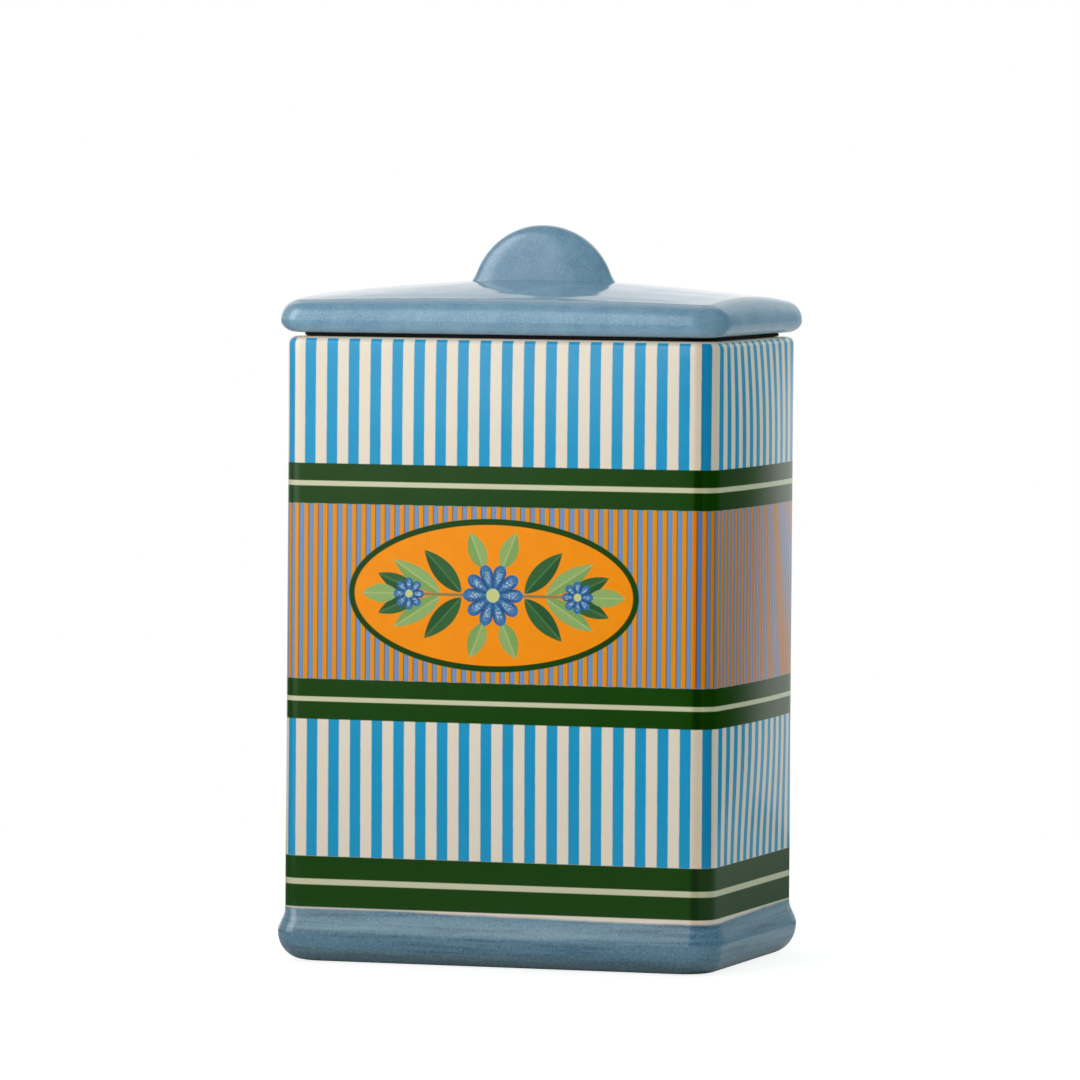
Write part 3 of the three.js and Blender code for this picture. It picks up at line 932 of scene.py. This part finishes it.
def seal_ring(materials):
    """A band round the collar with a lip over the rim and round-tipped fins in the mouth."""
    inner = JOINT_GAP
    face = inner + SEAL_BAND
    fin_reach = SEAL_SPACE - JOINT_GAP
    lip_top = -LIP_CLEARANCE
    lip_bottom = LIP_CLEARANCE - LID_GAP
    lip_reach = SEAL_SPACE + RIM_INNER_RADIUS + SEAL_LIP_REACH
    pitch = (SEAL_HEIGHT + lip_bottom) / FIN_COUNT
    tip = FIN_TIP / 2
    points = [(inner, -SEAL_HEIGHT), (face, -SEAL_HEIGHT)]
    for i in range(FIN_COUNT):
        middle = -SEAL_HEIGHT + (i + 0.5) * pitch
        points.append((face, middle - FIN_ROOT / 2))
        points += arc(fin_reach - tip, middle, tip, tip, DOWN, UP, EDGE_STEPS)
        points.append((face, middle + FIN_ROOT / 2))
    half = (lip_top - lip_bottom) / 2
    points.append((face, lip_bottom))
    points += arc(lip_reach - half, lip_bottom + half, half, half, DOWN, UP, LIP_STEPS)
    points.append((inner, lip_top))
    section = [(COLLAR, offset, LID_Z + z) for offset, z in points]
    return closed_section("seal_ring_soft", section, materials)


# Studio
def add_camera():
    """A camera at the photograph's viewing angle."""
    flat = math.cos(CAMERA_PITCH)
    forward = Vector((-math.sin(CAMERA_YAW) * flat, math.cos(CAMERA_YAW) * flat, -math.sin(CAMERA_PITCH)))
    level = Vector((math.cos(CAMERA_YAW), math.sin(CAMERA_YAW), 0.0))
    upward = level.cross(forward)
    right = level * math.cos(CAMERA_ROLL) + upward * math.sin(CAMERA_ROLL)
    top = upward * math.cos(CAMERA_ROLL) - level * math.sin(CAMERA_ROLL)
    lens = bpy.data.cameras.new("camera")
    lens.sensor_width = SENSOR_WIDTH
    lens.lens = LENS_LENGTH
    camera = bpy.data.objects.new("camera", lens)
    turn = Matrix((right, top, -forward)).transposed().to_4x4()
    camera.matrix_world = Matrix.Translation(CAMERA_PLACE) @ turn
    bpy.context.scene.collection.objects.link(camera)
    bpy.context.scene.camera = camera


def left_panel(azimuth, above):
    """A tall panel at the front left, with a brighter strip in it and a right edge that leans."""
    lean = above.rise(-1.6, -0.2) * 10.0
    glow = above.rise(-4.2, -0.5) + above.rise(-1.0, 0.5) * 0.3 + 0.08
    right_end = (azimuth - lean).fall(-21.5, -13.2)
    strip = azimuth.between(-72.0, -41.0, soft=8.0) * (above.rise(-2.6, 1.5) * 2.6 + 0.35)
    dimmer_left = azimuth.rise(-90.0, -70.0) * 0.6 + 0.4
    left_end = azimuth.rise(-150.0, -135.0)
    top_end = above.fall(40.0, 60.0)
    return (glow * right_end + strip) * dimmer_left * left_end * top_end


def high_bloom(azimuth, above):
    """A soft patch high at the front left."""
    strength = 0.8
    right_end = azimuth.fall(-19.0, -11.0)
    left_end = azimuth.rise(-75.0, -50.0)
    return right_end * left_end * above.between(24.0, 46.0, soft=14.0) * strength


def back_panel(azimuth, above):
    """A wide panel behind the jar, which the lid's crown and the far end of the right side mirror."""
    round_back = azimuth + azimuth.fall(-120.01, -120.0) * 360.0
    low = round_back.rise(156.0, 168.0) * 0.46
    high = round_back.rise(159.5, 174.0) * 0.66 + 0.06
    lower_sheet = round_back.rise(161.0, 177.0) * above.rise(-28.0, -20.0) * 0.55
    upper_sheet = round_back.rise(180.0, 196.0) * above.rise(-2.0, 2.0) * 0.4
    panel = (low + (high - low) * above.rise(-3.7, -2.2)).larger(lower_sheet) + upper_sheet
    right_end = round_back.rise(140.0, 150.0)
    left_end = round_back.fall(225.0, 240.0)
    top_end = above.fall(45.0, 70.0)
    return panel * right_end * left_end * top_end


def seen_directly(tree, path):
    """1 for rays from the camera, straight or through something clear."""
    return Num(tree, path["Is Camera Ray"]).larger(Num(tree, path["Is Transmission Ray"]))


def add_world():
    """White where the camera looks, soft panels in reflections, and a soft ambient light elsewhere. Azimuth
    is from the front towards +X, and above is the elevation, both in degrees."""
    world = bpy.data.worlds.new("studio")
    bpy.context.scene.world = world
    world.use_nodes = True
    tree = world.node_tree
    x, y, z = parts(tree, coordinates(tree, "Generated"))
    azimuth = x.math("ARCTAN2", y * -1.0) * math.degrees(1.0)
    above = z.math("ARCSINE") * math.degrees(1.0)
    faint = 0.006
    panels = left_panel(azimuth, above) + high_bloom(azimuth, above) + back_panel(azimuth, above) + faint
    shade_at_right = azimuth.between(25.0, 85.0, soft=12.0) * 0.75
    light_behind = azimuth.abs().rise(95.0, 145.0) * 0.3
    ambient = (1.0 - shade_at_right + light_behind) * AMBIENT
    path = tree.nodes.new("ShaderNodeLightPath").outputs
    seen = seen_directly(tree, path)
    glossy = Num(tree, path["Is Glossy Ray"])
    background = tree.nodes["Background"]
    put(tree, background.inputs["Color"], WHITE)
    put(tree, background.inputs["Strength"], ambient + seen * (1.0 - ambient) + glossy * (panels - ambient))


def add_lamp(name, azimuth, elevation, distance, size, power, colour=WHITE):
    """An area lamp that faces the middle of the jar. Azimuth is from the front towards +X."""
    light = bpy.data.lights.new(name, "AREA")
    light.shape = "DISK"
    light.size = size
    light.energy = power
    light.color = colour
    obj = bpy.data.objects.new(name, light)
    a, e = math.radians(azimuth), math.radians(elevation)
    way = Vector((math.sin(a) * math.cos(e), -math.cos(a) * math.cos(e), math.sin(e)))
    obj.location = way * distance + LAMP_AIM
    obj.rotation_euler = way.to_track_quat("Z", "Y").to_euler()
    obj.visible_camera = False
    obj.visible_glossy = False
    bpy.context.scene.collection.objects.link(obj)


def floor_material():
    """Pale floor that glows for the camera, keeps the jar's shadow, and is mirrored darker away from it."""
    material = bpy.data.materials.new("pale_floor")
    material.use_nodes = True
    tree = material.node_tree
    surface = tree.nodes["Principled BSDF"]
    path = tree.nodes.new("ShaderNodeLightPath").outputs
    x, y, _ = parts(tree, coordinates(tree, "Object"))
    near = (x * x + y * y).root().fall(*FLOOR_NEAR)
    mirrored = near * 0.45 + x.rise(*FLOOR_RIGHT) * 0.22 - (1.0 - near) * 0.12
    shown, bounced = 0.22, 0.5
    pale = Num(tree, path["Is Diffuse Ray"]) * bounced + Num(tree, path["Is Glossy Ray"]) * mirrored + shown
    put(tree, surface.inputs["Base Color"], mix(tree, pale, BLACK, WHITE))
    put(tree, surface.inputs["Emission Strength"], seen_directly(tree, path) * FLOOR_GLOW)
    put(tree, surface.inputs["Emission Color"], WHITE)
    put(tree, surface.inputs["Roughness"], FLOOR_ROUGHNESS)
    return material


def add_floor():
    """A round floor just below the foot."""
    bm = bmesh.new()
    bmesh.ops.create_circle(bm, cap_ends=True, segments=FLOOR_SEGMENTS, radius=FLOOR_RADIUS)
    mesh = bpy.data.meshes.new("floor")
    bm.to_mesh(mesh)
    bm.free()
    mesh.materials.append(floor_material())
    floor = bpy.data.objects.new("floor", mesh)
    floor.location.z = -FLOOR_DROP
    bpy.context.scene.collection.objects.link(floor)


stoneware = bare_stoneware()
pieces = (
    (jar_body([printed_glaze(), inside_glaze(), stoneware]), "jar", "jar_body", "body_glaze"),
    (lid_slab([lid_glaze("lid_glaze", on_slab=True), stoneware]), "lid", "lid_slab", "lid_glaze"),
    (lid_knob([lid_glaze("knob_glaze")]), "lid", "lid_knob", "lid_glaze"),
    (lid_collar([stoneware]), "lid", "lid_collar", "bare_stoneware"),
    (seal_ring([silicone()]), "lid", "seal_ring", "silicone"),
)
for piece, body, node, slot in pieces:
    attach(piece, body)
    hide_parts(node)

add_camera()
bpy.context.scene.view_settings.view_transform = "Standard"
add_world()
add_lamp("key", azimuth=-10.0, elevation=22.7, distance=0.376, size=0.2, power=0.62)
add_lamp("fill", azimuth=122.0, elevation=28.0, distance=0.6, size=0.35, power=1.26, colour=FILL_LIGHT)
add_floor()
